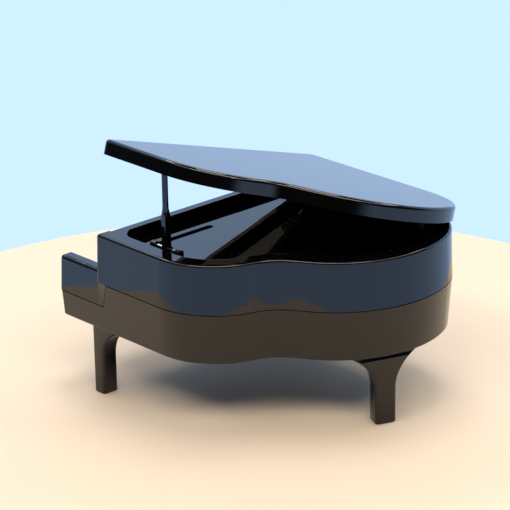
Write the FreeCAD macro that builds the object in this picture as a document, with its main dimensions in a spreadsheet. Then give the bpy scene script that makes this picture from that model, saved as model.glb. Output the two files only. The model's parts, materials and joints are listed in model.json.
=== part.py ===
"""Miniature grand piano: a moulded two-part case, a lid on a prop, legs, keys and a wind-up movement."""
import FreeCAD, Part
import math
import os
import re

Vector = FreeCAD.Vector

# Driving dimensions in millimetres and degrees. X runs from bass to treble, Y from keys to tail, Z up.
# The working origin is on the ground, under the middle of the case's front wall.
DIMENSIONS = {
    # plan outline of the case, walked from the treble front corner round to the straight bass side
    "case_width": 90.0, "side_straight": 27.8, "hip_radius": 23.6, "hip_turn": 70.5, "hip_run": 2.8,
    "waist_radius": 15.7, "waist_turn": 39.2, "waist_run": 4.1, "tail_radius": 36.3, "tail_turn": 82.1,
    "treble_corner": 1.6, "bass_corner": 3.0, "base_corner": 2.2,
    # heights of the case above the ground
    "case_base": 21.9, "cheek_seam": 30.4, "case_seam": 38.1, "cheek_top": 41.8, "rim_top": 53.6,
    # shells
    "wall": 1.8, "floor_thick": 1.8, "seam_groove": 0.3, "lower_draft": 4.6, "upper_draft": 1.8,
    "rim_round": 0.9, "base_round": 0.7, "riser_low": 1.0, "riser_high": 3.2, "riser_gap": 0.25,
    "rim_width": 5.85, "rim_front": 3.4, "well_corner": 6.2, "well_depth": 3.1, "well_skin": 1.6,
    "well_round": 0.3,
    # key bed
    "cheek_reach": 20.7, "cheek_width": 5.7, "shelf_thick": 1.5, "cheek_round": 1.2, "key_lip": 1.4,
    "arm_reach": 1.3, "arm_corner": 1.2,
    "key_height": 3.6, "key_pitch": 3.55, "key_groove": 0.35, "key_groove_deep": 1.3,
    "sharp_width": 1.9, "sharp_length": 9.6, "sharp_height": 1.7,
    # lid and its hinge
    "lid_thick": 4.6, "lid_plate": 1.8, "lid_skirt": 1.8, "lid_round": 1.1, "lid_angle": 16.47,
    "hinge_inset": 1.5, "hinge_rise": 1.6, "barrel_radius": 1.45, "ear_radius": 1.3,
    "ear_length": 4.0, "ear_front": 8.0, "ear_back": 40.0, "hinge_pin_radius": 0.6, "pin_gap": 0.05,
    "hinge_pin_length": 10.0,
    # prop
    "prop_axis": 32.9, "prop_row": 19.3, "prop_lift": 0.3, "prop_pin_radius": 0.5, "prop_hub": 1.05,
    "prop_foot": 2.3, "prop_rod": 1.4, "prop_foot_rise": 10.6, "prop_rod_start": 14.4, "prop_length": 26.9,
    "prop_thick": 2.1, "prop_rod_thick": 1.3, "prop_middle": 0.95,
    "lug_length": 1.9, "lug_radius": 1.1, "slot_width": 3.0, "slot_front": 13.2, "slot_back": 23.2,
    "slot_deep": 1.5, "rest_groove_length": 22.0, "rest_groove_width": 2.5, "rest_groove_row": 12.6,
    # legs
    "front_leg_width": 4.9, "tail_leg_width": 6.4, "leg_depth": 5.7, "front_reach": 6.0, "front_drop": 9.5,
    "tail_reach": 6.8, "tail_drop": 10.8, "leg_peg": 1.8, "leg_peg_length": 4.5, "leg_boss": 2.6,
    "leg_inset": 1.35, "foot_round": 0.4, "front_leg_row": -3.4, "tail_leg_turn": 19.5,
    # screws
    "screw_radius": 1.2, "screw_clear": 1.45, "screw_head": 2.3, "screw_head_high": 1.6,
    "boss_radius": 3.6, "counterbore": 2.7, "counterbore_deep": 6.0, "case_screw_length": 15.0,
    # movement
    "move_x": -6.0, "move_y": 31.0, "base_long": 50.0, "base_wide": 40.0, "base_thick": 2.0,
    "axis_high": 11.0, "drum_radius": 6.5, "drum_long": 15.8, "arbor_radius": 0.9, "drum_wheel_teeth": 40,
    "drum_wheel_pitch": 8.0, "pinion_teeth": 8, "drum_pinion_pitch": 3.0, "crown_teeth": 32,
    "crown_pitch": 12.0, "barrel_drum": 9.5, "winding_radius": 1.6, "key_drop": 12.5, "key_span": 16.0,
}

doc = FreeCAD.newDocument("miniature_grand_piano")
sheet = doc.addObject("Spreadsheet::Sheet", "Dimensions")
for row, (alias, value) in enumerate(DIMENSIONS.items(), start=1):
    sheet.set(f"A{row}", alias)
    sheet.set(f"B{row}", str(value))
    sheet.setAlias(f"B{row}", alias)
doc.recompute()


def size(alias):
    """The number that the sheet holds under this alias."""
    return float(sheet.get(alias))


def bound(text):
    """Turn bare aliases in an expression into references to the sheet."""
    def refer(word):
        return f"Dimensions.{word[0]}" if word[0] in DIMENSIONS else word[0]
    return re.sub(r"[a-z_]+", refer, text)


# ---------------------------------------------------------------- plan outline

def heading(angle):
    return Vector(math.cos(math.radians(angle)), math.sin(math.radians(angle)), 0)


def case_outline(grow, front, treble_corner=None, bass_corner=None):
    """The case's plan outline as tangent lines and arcs, moved outwards by grow, with its front at front."""
    half = size("case_width") / 2
    treble = size("treble_corner") if treble_corner is None else treble_corner
    bass = size("bass_corner") if bass_corner is None else bass_corner
    edges = []
    place = Vector(half + grow, front + treble, 0)
    way = 90.0

    def run(length):
        nonlocal place
        end = place + heading(way) * length
        edges.append(Part.LineSegment(place, end))
        place = end

    def turn(radius, angle):
        """Turn by angle, to the left when it is positive, on an arc of this radius."""
        nonlocal place, way
        side = 1 if angle > 0 else -1
        centre = place + heading(way + 90 * side) * radius
        middle = centre - heading(way + angle / 2 + 90 * side) * radius
        end = centre - heading(way + angle + 90 * side) * radius
        edges.append(Part.Arc(place, middle, end))
        place = end
        way += angle

    run(size("side_straight") - place.y)
    turn(size("hip_radius") + grow, size("hip_turn"))
    run(size("hip_run"))
    turn(size("waist_radius") - grow, -size("waist_turn"))
    run(size("waist_run"))
    turn(size("tail_radius") + grow, size("tail_turn"))
    # the last arc's radius brings the outline on to the straight bass side
    across = place.x + half + grow
    turn(across / (1 - math.cos(math.radians(270 - way))), 270 - way)
    run(place.y - front - bass)
    turn(bass, 90)
    run(half + grow - treble - place.x)
    turn(treble, 90)
    return edges


def polygon(points):
    """Straight edges round a list of (x, y) points."""
    corners = [Vector(x, y, 0) for x, y in points]
    return [Part.LineSegment(a, b) for a, b in zip(corners, corners[1:] + corners[:1])]


def rectangle(x_low, y_low, x_high, y_high):
    return polygon([(x_low, y_low), (x_high, y_low), (x_high, y_high), (x_low, y_high)])


def ring(x, y, radius):
    return [Part.Circle(Vector(x, y, 0), Vector(0, 0, 1), radius)]


def long_hole(x_low, x_high, y, width):
    """A slot along X with round ends."""
    half = width / 2
    low, high = Vector(x_low + half, y, 0), Vector(x_high - half, y, 0)
    up, out = Vector(0, half, 0), Vector(half, 0, 0)
    return [Part.LineSegment(low - up, high - up), Part.Arc(high - up, high + out, high + up),
            Part.LineSegment(high + up, low + up), Part.Arc(low + up, low - out, low - up)]


# ---------------------------------------------------------------- feature helpers

def new_body(label):
    body = doc.addObject("PartDesign::Body", label)
    body.Label = label
    return body


def sketch_on(body, edges, level, plane="XY_Plane"):
    """A sketch on one of the body's own planes, lifted to the level that an expression gives."""
    drawing = body.newObject("Sketcher::SketchObject", "Sketch")
    base = next(f for f in body.Origin.OriginFeatures if f.Role == plane)
    drawing.AttachmentSupport = [(base, "")]
    drawing.MapMode = "FlatFace"
    drawing.setExpression("AttachmentOffset.Base.z", bound(level))
    for edge in edges:
        drawing.addGeometry(edge, False)
    return drawing


def feature(body, kind, edges, level, length, down=False, draft=None, plane="XY_Plane", both=False):
    """A pad or a pocket of a sketch; down turns a pad's way round or sends a pocket upwards."""
    drawing = sketch_on(body, edges, level, plane)
    made = body.newObject(f"PartDesign::{kind}", kind)
    made.Profile = drawing
    made.setExpression("Length", bound(length))
    made.Reversed = down
    made.Midplane = both
    if draft:
        made.setExpression("TaperAngle", bound(draft))
    doc.recompute()
    return made


def pad(body, edges, level, length, **more):
    return feature(body, "Pad", edges, level, length, **more)


def pocket(body, edges, level, length, **more):
    """A pocket that has to take material away."""
    before = body.Shape.Volume
    made = feature(body, "Pocket", edges, level, length, **more)
    if body.Shape.Volume > before - 1e-3:
        raise RuntimeError(f"a pocket in {body.Label} cuts nothing")
    return made


def round_edges(body, radius, wanted):
    """Fillet the edges for which wanted(edge) is true."""
    names = [f"Edge{i}" for i, edge in enumerate(body.Shape.Edges, start=1) if wanted(edge)]
    base = body.Tip
    fillet = body.newObject("PartDesign::Fillet", "Fillet")
    fillet.Base = (base, names)
    fillet.setExpression("Radius", bound(radius))
    doc.recompute()
    if not names or not fillet.isValid():
        raise RuntimeError(f"the fillet of {len(names)} edges in {body.Label} failed")
    return fillet


def level_edge(height):
    """A test for edges that lie wholly at this height."""
    def test(edge):
        box = edge.BoundBox
        return abs(box.ZMin - height) < 1e-4 and abs(box.ZMax - height) < 1e-4
    return test


def solid_feature(label, shape):
    made = doc.addObject("Part::Feature", label)
    made.Shape = shape
    made.Label = label
    return made


def along_y(x, y, z, radius, length):
    return Part.makeCylinder(radius, length, Vector(x, y, z), Vector(0, 1, 0))


def along_x(x, y, z, radius, length):
    return Part.makeCylinder(radius, length, Vector(x, y, z), Vector(1, 0, 0))


def upright(x, y, z, radius, length):
    return Part.makeCylinder(radius, length, Vector(x, y, z))


def block(x_low, x_high, y_low, y_high, z_low, z_high):
    return Part.makeBox(x_high - x_low, y_high - y_low, z_high - z_low, Vector(x_low, y_low, z_low))


half_width = size("case_width") / 2
rim_top = size("rim_top")
well_floor = rim_top - size("well_depth")
cavity_top = well_floor - size("well_skin")
screw_spots = [(33.0, 7.0), (-33.0, 7.0), (-36.0, 50.0), (27.0, 41.5)]
move_x, move_y = size("move_x"), size("move_y")
base_level = size("case_base") + size("floor_thick")
winding_x, winding_y = move_x - 12.0, move_y - 2.0
move_screws = [(22.0, 17.0), (-22.0, 17.0), (-22.0, -17.0)]
front_leg_x = half_width - size("leg_inset") - size("leg_depth") / 2
front_leg_y = size("front_leg_row")


def tail_arc_centre():
    """Centre of the outline's large tail arc."""
    arcs = [edge for edge in case_outline(0, 0) if isinstance(edge, Part.Arc)]
    return Part.Arc.toShape(arcs[2]).Curve.Center


tail_way = 90 - size("tail_leg_turn")
tail_leg_radius = size("tail_radius") - size("leg_inset") - size("leg_depth") / 2
tail_leg = tail_arc_centre() + heading(tail_way) * tail_leg_radius
leg_spots = {
    "leg_front_treble": (front_leg_x, front_leg_y),
    "leg_front_bass": (-front_leg_x, front_leg_y),
    "leg_tail": (tail_leg.x, tail_leg.y),
}

# ---------------------------------------------------------------- lower shell

lower = new_body("lower_shell")
front = -size("cheek_reach")
pad(lower, case_outline(0, front, size("base_corner")), "case_seam - seam_groove",
    "case_seam - seam_groove - case_base", down=True, draft="-lower_draft")
round_edges(lower, "base_round", level_edge(size("case_base")))
groove = size("seam_groove")
neck = case_outline(-groove, front + groove, size("base_corner"))
pad(lower, neck, "case_seam - seam_groove", "seam_groove")
# the front of the shell is lower, up to the cheeks' seam; a slanted riser joins the two levels
riser_low, riser_high = size("riser_low"), size("riser_high")
cheek_seam, case_seam = size("cheek_seam"), size("case_seam")


def riser_side(gap, end, over):
    """Outline, in Y and Z, of what lies between the riser's line and y = end."""
    lean = (riser_high - riser_low) / (case_seam - cheek_seam)
    return polygon([(riser_low + gap, cheek_seam), (riser_high + gap + lean * over, case_seam + over),
                    (end, case_seam + over), (end, cheek_seam)])


pocket(lower, riser_side(size("riser_gap"), front - 5, 1.0), "0", "case_width + 10", plane="YZ_Plane",
       both=True)
# the cheeks' seam has the same fine groove
cheek_inset = (case_seam - cheek_seam) * math.tan(math.radians(size("lower_draft")))
inner = half_width - cheek_inset - groove
groove_front = front + cheek_inset + groove
pocket(lower, polygon([(-half_width - 5, riser_low), (-half_width - 5, front - 5),
                       (half_width + 5, front - 5), (half_width + 5, riser_low),
                       (inner, riser_low), (inner, groove_front),
                       (-inner, groove_front), (-inner, riser_low)]), "cheek_seam", "seam_groove")
pocket(lower, case_outline(-size("wall") - 1.3, front + size("wall") + 1.3, 1.5, 2.0),
       "case_seam", "case_seam - case_base - floor_thick")
for x, y in screw_spots:
    pad(lower, ring(x, y, size("boss_radius")), "case_base + 1", "case_seam - case_base - 1")
for x, y in leg_spots.values():
    pad(lower, ring(x, y, size("leg_boss")), "case_base + 1", "leg_peg_length")
for x, y in screw_spots:
    pocket(lower, ring(x, y, size("screw_clear")), "case_seam", "case_seam - case_base")
    pocket(lower, ring(x, y, size("counterbore")), "case_base", "counterbore_deep", down=True)
for x, y in leg_spots.values():
    pocket(lower, ring(x, y, size("leg_peg")), "case_base", "leg_peg_length + 1", down=True)
pocket(lower, ring(winding_x, winding_y, size("winding_radius") + 1.0), "case_base", "floor_thick", down=True)
for x, y in move_screws:
    pocket(lower, ring(move_x + x, move_y + y, 1.2), "case_base", "floor_thick", down=True)

# ---------------------------------------------------------------- upper shell

upper = new_body("upper_shell")
# the cheeks and the shelf between them stand flush on the lower shell's edge
cheek_half, cheek_front = half_width - cheek_inset, front + cheek_inset
pad(upper, rectangle(-cheek_half, cheek_front, cheek_half, 6.0), "cheek_seam", "cheek_top - cheek_seam",
    draft="-upper_draft")
pocket(upper, riser_side(0, 9.0, 0), "0", "case_width + 10", plane="YZ_Plane", both=True)
round_edges(upper, "arm_corner", lambda e: e.BoundBox.ZLength > 3 and e.BoundBox.YMax < front + 2.0)
cheek_inside = half_width - size("cheek_width")
pocket(upper, rectangle(-cheek_inside, cheek_front + size("key_lip"), cheek_inside, 0),
       "cheek_top", "cheek_top - cheek_seam - shelf_thick")
pocket(upper, rectangle(-cheek_inside, cheek_front - 1, cheek_inside, cheek_front + 2 * size("key_lip")),
       "cheek_top", "cheek_top - cheek_seam - shelf_thick - 1.6")
round_edges(upper, "cheek_round", level_edge(size("cheek_top")))
# the case's side walls end in two arms, a little in front of the wall between them
pad(upper, case_outline(0, -size("arm_reach"), size("arm_corner"), size("arm_corner")),
    "case_seam", "rim_top - case_seam", draft="-upper_draft")
pocket(upper, rectangle(-cheek_inside, -size("arm_reach") - 1, cheek_inside, 0), "rim_top",
       "rim_top - case_seam + 1")
round_edges(upper, "rim_round", level_edge(rim_top))
well_corner = size("well_corner")
pocket(upper, case_outline(-size("rim_width"), size("rim_front"), well_corner, well_corner), "rim_top",
       "well_depth")
round_edges(upper, "well_round", level_edge(rim_top))
inside_front = size("wall")
pocket(upper, case_outline(-size("wall") - 0.6, inside_front, 1.5, 2.0),
       "case_seam", "rim_top - well_depth - well_skin - case_seam", down=True)
axis_x, row = size("prop_axis"), size("prop_row")
slot_front, slot_back = size("slot_front"), size("slot_back")
groove_row, groove_width = size("rest_groove_row"), size("rest_groove_width")
pad(upper, rectangle(axis_x - 26, slot_front - 4, axis_x + 5, slot_back + 4),
    "rim_top - well_depth - well_skin", "1.6", down=True)
half_slot = size("slot_width") / 2
pocket(upper, rectangle(axis_x - half_slot, slot_front, axis_x + half_slot, slot_back),
       "rim_top - well_depth", "slot_deep")
rest_groove = long_hole(axis_x - size("rest_groove_length") - half_slot, axis_x + half_slot, groove_row,
                        groove_width)
pocket(upper, rest_groove, "rim_top - well_depth", "slot_deep - 0.3")
for x, y in screw_spots:
    pad(upper, ring(x, y, size("boss_radius")), "case_seam", "rim_top - well_depth - case_seam - 1")
    pocket(upper, ring(x, y, size("screw_radius")), "case_seam", "case_screw_length - 6", down=True)
hinge_x = -half_width + size("hinge_inset")
hinge_z = rim_top + size("hinge_rise")
ear_rows = (size("ear_front"), size("ear_back"))
prop_z = well_floor + size("prop_lift")
doc.recompute()

# the hinge ears, the prop's lugs and the bores of both hinges are plain solids, joined to the moulding
lug_rows = (slot_front - size("lug_length") + 0.4, slot_back - 0.4)
ears = [along_y(axis_x, y, prop_z, size("lug_radius"), size("lug_length")) for y in lug_rows]
ears += [block(axis_x - size("lug_radius"), axis_x + size("lug_radius"), y, y + size("lug_length"),
               well_floor - size("slot_deep") - 0.1, prop_z) for y in lug_rows]
bores = [along_y(axis_x, slot_front - size("lug_length") + 0.5, prop_z, size("prop_pin_radius"),
                 slot_back - slot_front + 2 * size("lug_length") - 1.0)]
for y in ear_rows:
    radius = size("ear_radius")
    ears.append(along_y(hinge_x, y, hinge_z, radius, size("ear_length")))
    ears.append(block(hinge_x - radius, hinge_x + radius, y, y + size("ear_length"), rim_top - 1.5, hinge_z))
    bores.append(along_y(hinge_x, y - 1, hinge_z, size("hinge_pin_radius") + size("pin_gap"),
                         size("ear_length") + 2))
# between the seams the arms' sides run from the cheeks' faces out to the riser's
gusset_inside = cheek_inside + 0.7
for side in (-1, 1):
    sections = []
    for y, at_case_seam in ((-size("arm_reach"), cheek_half), (riser_high, half_width)):
        corners = [Vector(side * x, y, z) for x, z in (
            (gusset_inside, cheek_seam), (cheek_half, cheek_seam), (at_case_seam, case_seam),
            (gusset_inside, case_seam))]
        sections.append(Part.makePolygon(corners + corners[:1]))
    gusset = Part.makeLoft(sections, True, True)
    lean = Part.Face(Part.makePolygon([Vector(0, y, z) for y, z in (
        (riser_low, cheek_seam), (riser_high, case_seam), (9.0, case_seam), (9.0, cheek_seam - 0.1),
        (riser_low, cheek_seam - 0.1), (riser_low, cheek_seam))])).extrude(Vector(side * 60, 0, 0))
    ears.append(gusset.cut(lean))
upper_shape = upper.Shape.fuse(ears).cut(bores)
if not upper_shape.isValid():
    raise RuntimeError("upper shell with its ears is not valid")
upper.Label = "upper_shell_moulding"
solid_feature("upper_shell", upper_shape.removeSplitter())

# ---------------------------------------------------------------- keyboard

keys = new_body("white_keys")
key_back, key_front = -0.3, cheek_front + size("key_lip") + 0.2
key_side = 11 * size("key_pitch")
pad(keys, rectangle(-key_side, key_front, key_side, key_back), "cheek_seam + shelf_thick", "key_height")
gaps = []
for i in range(1, 22):
    x = -key_side + i * size("key_pitch")
    gaps += rectangle(x - size("key_groove") / 2, key_front - 1, x + size("key_groove") / 2, key_back - 2)
pocket(keys, gaps, "cheek_seam + shelf_thick + key_height", "key_groove_deep")

sharps = new_body("black_keys")
sharp_strip = rectangle(-key_side, key_back - 1.2, key_side, key_back)
pad(sharps, sharp_strip, "cheek_seam + shelf_thick + key_height", "sharp_height / 2")
sharp_edges = []
for i in range(1, 22):
    if i % 7 in (3, 0):
        continue
    x = -key_side + i * size("key_pitch")
    half = size("sharp_width") / 2
    sharp_edges += rectangle(x - half, key_back - 0.6 - size("sharp_length"), x + half, key_back - 0.6)
pad(sharps, sharp_edges, "cheek_seam + shelf_thick + key_height", "sharp_height")

# ---------------------------------------------------------------- lid

opened = FreeCAD.Rotation(Vector(0, -1, 0), size("lid_angle"))
hinge_point = Vector(hinge_x, 0, hinge_z)
lid_open = FreeCAD.Placement(Vector(), opened, hinge_point)

lid = new_body("lid_moulding")
pad(lid, case_outline(0, 0), "rim_top", "lid_thick")
round_edges(lid, "lid_round", level_edge(rim_top + size("lid_thick")))
pocket(lid, case_outline(-size("lid_skirt"), size("lid_skirt"), 1.2, 2.0), "rim_top", "lid_thick - lid_plate",
       down=True)
lid_shape = lid.Shape
barrel_front, barrel_back = 3.5, 50.0
lid_shape = lid_shape.cut(block(-half_width - 1, hinge_x + 0.3, -1, 90, rim_top - 1, hinge_z))
lid_barrel = along_y(hinge_x, barrel_front, hinge_z, size("barrel_radius"), barrel_back - barrel_front)
lid_shape = lid_shape.fuse(lid_barrel)
pins = []
ear_gap = 0.3
for y in ear_rows:
    notch = block(-half_width - 1, hinge_x + size("ear_radius") + 0.6, y - ear_gap,
                  y + size("ear_length") + ear_gap, rim_top - 1, hinge_z + size("ear_radius") + ear_gap)
    start = y + size("ear_length") / 2 - size("hinge_pin_length") / 2
    pin = along_y(hinge_x, start, hinge_z, size("hinge_pin_radius"), size("hinge_pin_length"))
    lid_shape = lid_shape.cut([notch, pin])
    pins.append(pin)
lid_shape.Placement = lid_open.multiply(lid_shape.Placement)
# a pad inside the lid meets the top of the prop squarely when the lid is up
prop_centre = axis_x + size("prop_middle")
prop_tip = prop_z + size("prop_length")
stop = block(prop_centre - 1.2, prop_centre + 1.2, row - 1.5, row + 1.5, prop_tip + 0.12, prop_tip + 3.0)
lid_shape = lid_shape.fuse(stop).removeSplitter()
solid_feature("lid", lid_shape)

solid_feature("hinge_pins", Part.makeCompound(pins))

# ---------------------------------------------------------------- prop

middle = size("prop_middle")
foot_low, foot_high = middle - size("prop_foot") / 2, middle + size("prop_foot") / 2
rod_low, rod_high = middle - size("prop_rod") / 2, middle + size("prop_rod") / 2
rise, start, tip = size("prop_foot_rise"), size("prop_rod_start"), size("prop_length")
profile = [(foot_low, 0), (foot_high, 0), (foot_high, rise), (rod_high, start), (rod_high, tip - 0.4),
           (rod_high - 0.4, tip), (rod_low + 0.4, tip), (rod_low, tip - 0.4), (rod_low, start),
           (foot_low, rise)]
thick, rod_thick = size("prop_thick") / 2, size("prop_rod_thick") / 2
side = [Vector(axis_x + x, row - thick, prop_z + z) for x, z in profile]
stick = Part.Face(Part.makePolygon(side + side[:1])).extrude(Vector(0, 2 * thick, 0))
# seen from the side, the rod is as slim as it is from the front
for sign in (-1, 1):
    slim = [(thick, rise), (rod_thick, start), (rod_thick, tip + 1), (thick + 1, tip + 1), (thick + 1, rise)]
    face = [Vector(axis_x - 3, row + sign * y, prop_z + z) for y, z in slim]
    stick = stick.cut(Part.Face(Part.makePolygon(face + face[:1])).extrude(Vector(9, 0, 0)))
stick = stick.fuse(along_y(axis_x, row - thick, prop_z, size("prop_hub"), 2 * thick))
stick = stick.cut(along_y(axis_x, row - 3, prop_z, size("prop_pin_radius") + size("pin_gap"), 6))
stick = stick.cut(block(axis_x + size("prop_hub"), axis_x + 4, row - 3, row + 3, prop_z - 2,
                        well_floor + 0.05))
solid_feature("prop_stick", stick.removeSplitter())
solid_feature("prop_pin", bores[0].copy())

# ---------------------------------------------------------------- legs

def leg(label, width, width_low, width_high, drop):
    """An upright leg whose bracket spreads by these reaches under the case; its peg fits the lower shell."""
    made = new_body(label)
    half = width / 2
    top = size("case_base")
    edges = []
    corner = Vector(-half, 0, 0)
    right_end, left_end = Vector(half + width_high, top, 0), Vector(-half - width_low, top, 0)
    edges.append(Part.LineSegment(corner, Vector(half, 0, 0)))

    def flare(sign, reach):
        """Side of the leg: straight up, then a curve that opens out under the case."""
        radius = (reach ** 2 + drop ** 2) / (2 * reach)
        halfway = math.asin(drop / radius) / 2
        low = Vector(sign * half, top - drop, 0)
        high = Vector(sign * (half + reach), top, 0)
        bend = Vector(sign * (half + radius * (1 - math.cos(halfway))),
                      top - drop + radius * math.sin(halfway), 0)
        edges.append(Part.LineSegment(Vector(sign * half, 0, 0), low))
        edges.append(Part.Arc(low, bend, high))

    for sign, reach, end in ((1, width_high, right_end), (-1, width_low, left_end)):
        if reach:
            flare(sign, reach)
        else:
            edges.append(Part.LineSegment(Vector(sign * half, 0, 0), end))
    edges.append(Part.LineSegment(right_end, left_end))
    # sketches on the YZ plane draw Y across and Z up
    pad(made, edges, "0", "leg_depth + 6", plane="YZ_Plane", both=True)
    return made


def finish_leg(blank, place, label):
    """Trim a leg's blank between two lines parallel to the case outline, so that it follows the case."""
    outer = size("leg_inset")
    ring_face = Part.Face([Part.Wire([e.toShape() for e in case_outline(-inset, front + inset, 2.2, 3.0)])
                           for inset in (outer, outer + size("leg_depth"))], "Part::FaceMakerBullseye")
    sleeve = ring_face.extrude(Vector(0, 0, size("case_base")))
    shape = blank.Shape.copy()
    shape.Placement = place
    shape = shape.common(sleeve)
    shape = shape.makeFillet(size("foot_round"), [e for e in shape.Edges if level_edge(0)(e)])
    shape = shape.fuse(upright(place.Base.x, place.Base.y, size("case_base") - 0.5, size("leg_peg"),
                               size("leg_peg_length") + 0.5))
    solid_feature(label, shape.removeSplitter())


front_blank = leg("front_leg_blank", size("front_leg_width"), 0, size("front_reach"), size("front_drop"))
tail_blank = leg("tail_leg_blank", size("tail_leg_width"), size("tail_reach"), size("tail_reach"),
                 size("tail_drop"))
finish_leg(front_blank, FreeCAD.Placement(Vector(front_leg_x, front_leg_y, 0), FreeCAD.Rotation()),
           "leg_front_treble")
finish_leg(front_blank, FreeCAD.Placement(Vector(-front_leg_x, front_leg_y, 0), FreeCAD.Rotation()),
           "leg_front_bass")
finish_leg(tail_blank, FreeCAD.Placement(Vector(tail_leg.x, tail_leg.y, 0),
                                         FreeCAD.Rotation(Vector(0, 0, 1), tail_way)), "leg_tail")

# ---------------------------------------------------------------- case screws

def screw(x, y, head_level, length, radius, head, head_high):
    """A pan-head screw that points up, with a cross recess in its head."""
    body = upright(x, y, head_level, radius, length)
    body = body.fuse(upright(x, y, head_level - head_high, head, head_high))
    for turn in (0, 90):
        arm = block(-head * 0.6, head * 0.6, -0.2, 0.2, -0.1, head_high * 0.6)
        arm.rotate(Vector(), Vector(0, 0, 1), turn)
        arm.translate(Vector(x, y, head_level - head_high))
        body = body.cut(arm)
    return body


head_level = size("case_base") + size("counterbore_deep")
long_screws = [screw(x, y, head_level, size("case_screw_length"), size("screw_radius"),
                     size("screw_head"), size("screw_head_high")) for x, y in screw_spots]
solid_feature("case_screws", Part.makeCompound(long_screws))

# ---------------------------------------------------------------- wind-up movement

def toothed(teeth, root, tip, tooth, thick, phase=0.0):
    """A wheel about Z with straight narrow teeth, so meshing wheels keep clear at every angle."""
    wheel = Part.makeCylinder(root, thick)
    fins = []
    for i in range(int(teeth)):
        fin = block(root - 0.3, tip, -tooth / 2, tooth / 2, 0, thick)
        fin.rotate(Vector(), Vector(0, 0, 1), phase + i * 360.0 / teeth)
        fins.append(fin)
    return wheel.fuse(fins).removeSplitter()


def local(shape):
    """Put a piece of the movement in the case: half a turn round, so that the key is under the bass side."""
    shape.rotate(Vector(), Vector(0, 0, 1), 180)
    shape.translate(Vector(move_x, move_y, base_level))
    return shape


def on_x_axis(shape, x, y, z):
    """Lay a wheel made about Z on an axis that runs along X."""
    shape.rotate(Vector(), Vector(0, 1, 0), 90)
    shape.translate(Vector(x, y, z))
    return local(shape)


axis_high, drum_y = size("axis_high"), 2.0
arbor = size("arbor_radius")
run_gap = size("pin_gap")
long_half, wide_half, thick = size("base_long") / 2, size("base_wide") / 2, size("base_thick")
base = block(-long_half, long_half, -wide_half, wide_half, 0, thick)
gov_y, gov_z = drum_y + 9.2, 8.2
fan_y, fan_z = gov_y + 3.9, 13.3
# angle of each mesh line on a wheel that is made about Z and then laid along X
drum_mesh = math.degrees(math.atan2(gov_z - axis_high, gov_y - drum_y)) + 90
fan_mesh = math.degrees(math.atan2(fan_z - gov_z, fan_y - gov_y)) + 90
half_tooth = 180 / size("pinion_teeth")
for x in (-24.5, -2.9):
    base = base.fuse(block(x, x + 1.5, drum_y - 4, drum_y + 4, thick, axis_high + 2.5))
    base = base.fuse(block(x, x + 1.5, gov_y - 3, fan_y + 2.5, thick, fan_z + 2.2))
base = base.fuse(block(-19.2, -3.6, -19.0, -11.5, thick, axis_high))
for x in (-24.5, -2.9):
    for y, z in ((drum_y, axis_high), (gov_y, gov_z), (fan_y, fan_z)):
        base = base.cut(along_x(x - 1, y, z, arbor + run_gap, 3.5))
base = base.cut(upright(12.0, 2.0, -1, size("winding_radius") + run_gap, 4))
for x, y in move_screws:
    base = base.cut(upright(-x, -y, -1, 0.95, 4))
for x in (-16.0, -6.8):
    base = base.cut(upright(x, -15.5, axis_high - 5, 0.9, 6))
solid_feature("movement_base", local(base.removeSplitter()))

# steel comb: eighteen slit tongues that reach the drum
comb_back, comb_tip = -19.0, drum_y - size("drum_radius") - 0.5
comb = block(-19.2, -3.6, comb_back, comb_tip, axis_high, axis_high + 1.0)
tongue = 15.6 / 18
for i in range(1, 18):
    x = -19.2 + i * tongue
    comb = comb.cut(block(x - 0.12, x + 0.12, -11.0, comb_tip + 1, axis_high - 1, axis_high + 2))
for x in (-16.0, -6.8):
    comb = comb.cut(upright(x, -15.5, axis_high - 1, 0.9, 3))
solid_feature("music_comb", local(comb))

comb_pair = []
for x in (-16.0, -6.8):
    shank = upright(x, -15.5, axis_high - 4, 0.9, 5.0)
    comb_pair.append(shank.fuse(upright(x, -15.5, axis_high + 1.0, 1.8, 1.2)))
solid_feature("comb_screws", local(Part.makeCompound(comb_pair)))

# pinned drum with its wheel and pinion on one arbor
drum = Part.makeCylinder(size("drum_radius"), size("drum_long"))
drum.translate(Vector(0, 0, 5.2))
pegs = []
for i in range(18):
    for k in range(3):
        peg = Part.makeCylinder(0.2, 0.4, Vector(size("drum_radius") - 0.1, 0, 5.7 + i * 0.86),
                                Vector(1, 0, 0))
        peg.rotate(Vector(), Vector(0, 0, 1), (i * 67 + k * 131 + 40) % 300 + 20)
        pegs.append(peg)
drum = drum.fuse(pegs).fuse(Part.makeCylinder(arbor, 26.3))
wheel = toothed(size("drum_wheel_teeth"), 7.4, 8.4, 0.45, 1.0, phase=drum_mesh)
wheel.translate(Vector(0, 0, 2.0))
pinion = toothed(size("pinion_teeth"), 2.1, 3.45, 0.7, 1.6)
pinion.translate(Vector(0, 0, 23.9))
drum = drum.fuse(wheel).fuse(pinion)
solid_feature("tune_cylinder", on_x_axis(drum, -24.6, drum_y, axis_high))

# spring barrel: a drum about the winding arbor with crown teeth that hang over the pinion
barrel_drum, crown = size("barrel_drum"), size("crown_pitch")
barrel_low, barrel_high = thick + 0.4, axis_high + 2.2
barrel = upright(0, 0, barrel_low, barrel_drum, barrel_high - barrel_low)
barrel = barrel.cut(upright(0, 0, barrel_low + 0.8, barrel_drum - 0.8, barrel_high))
barrel = barrel.cut(upright(0, 0, barrel_low - 1, size("winding_radius") + run_gap, 5))
barrel.translate(Vector(12, 2, 0))
solid_feature("spring_barrel", local(barrel.removeSplitter()))

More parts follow.
